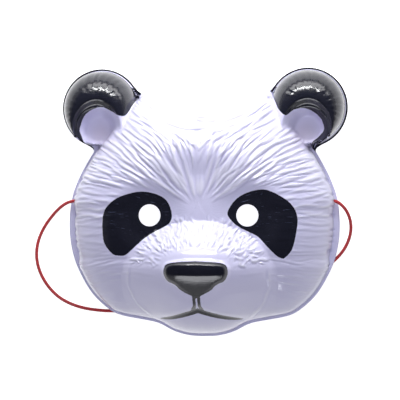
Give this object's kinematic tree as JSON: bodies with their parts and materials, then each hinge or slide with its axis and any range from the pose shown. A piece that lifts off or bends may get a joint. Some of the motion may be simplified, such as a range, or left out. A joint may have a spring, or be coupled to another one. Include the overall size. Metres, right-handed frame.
{
  "type": "panda face mask",
  "caption": "Thin formed panda face mask with rolled ears, round eye holes, a trimmed rim and a loose elastic cord from side to side.",
  "frame": {"origin": "on the surface under the mask, halfway between the chin and the tops of the ears and on the face's middle line", "axes": "+X to the viewer's right, +Y up the face to the crown, +Z out of the face; the mask lies face up on its rim"},
  "size_m": [0.239, 0.2005, 0.0788],
  "materials": {
    "painted_sheet": "glossy white sheet with gloss black paint",
    "elastic": "fine woven elastic"
  },
  "bodies": {
    "root": {"mask_shell": "painted_sheet", "elastic_cord": "elastic", "cord_knot_left": "elastic", "cord_knot_right": "elastic"}
  },
  "joints": []
}
